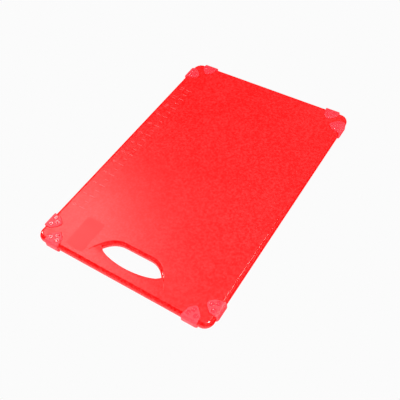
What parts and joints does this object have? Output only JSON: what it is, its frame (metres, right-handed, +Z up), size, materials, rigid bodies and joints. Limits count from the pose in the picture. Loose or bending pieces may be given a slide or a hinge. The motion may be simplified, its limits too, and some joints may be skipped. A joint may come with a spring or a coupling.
{
  "type": "cutting board",
  "caption": "Reversible plastic cutting board with a rounded edge, a hand hole with finger ramps, an edge ruler and soft corner grips that stand it off the table.",
  "frame": {"origin": "middle of the footprint, on the surface that the feet stand on", "axes": "+Z up out of the cutting face, +Y along the board's length away from the hand hole, +X to the right across its width"},
  "size_m": [0.3088, 0.4612, 0.0173],
  "materials": {
    "board_plastic": "red polyethylene, fine satin texture",
    "grip_elastomer": "soft translucent red elastomer, satin"
  },
  "bodies": {
    "root": {"board": "board_plastic", "grip_near_left_end": "grip_elastomer", "grip_near_right_end": "grip_elastomer", "grip_far_left_end": "grip_elastomer", "grip_far_right_end": "grip_elastomer", "grip_near_left_side": "grip_elastomer", "grip_far_left_side": "grip_elastomer", "grip_near_right_side": "grip_elastomer", "grip_far_right_side": "grip_elastomer"}
  },
  "joints": []
}
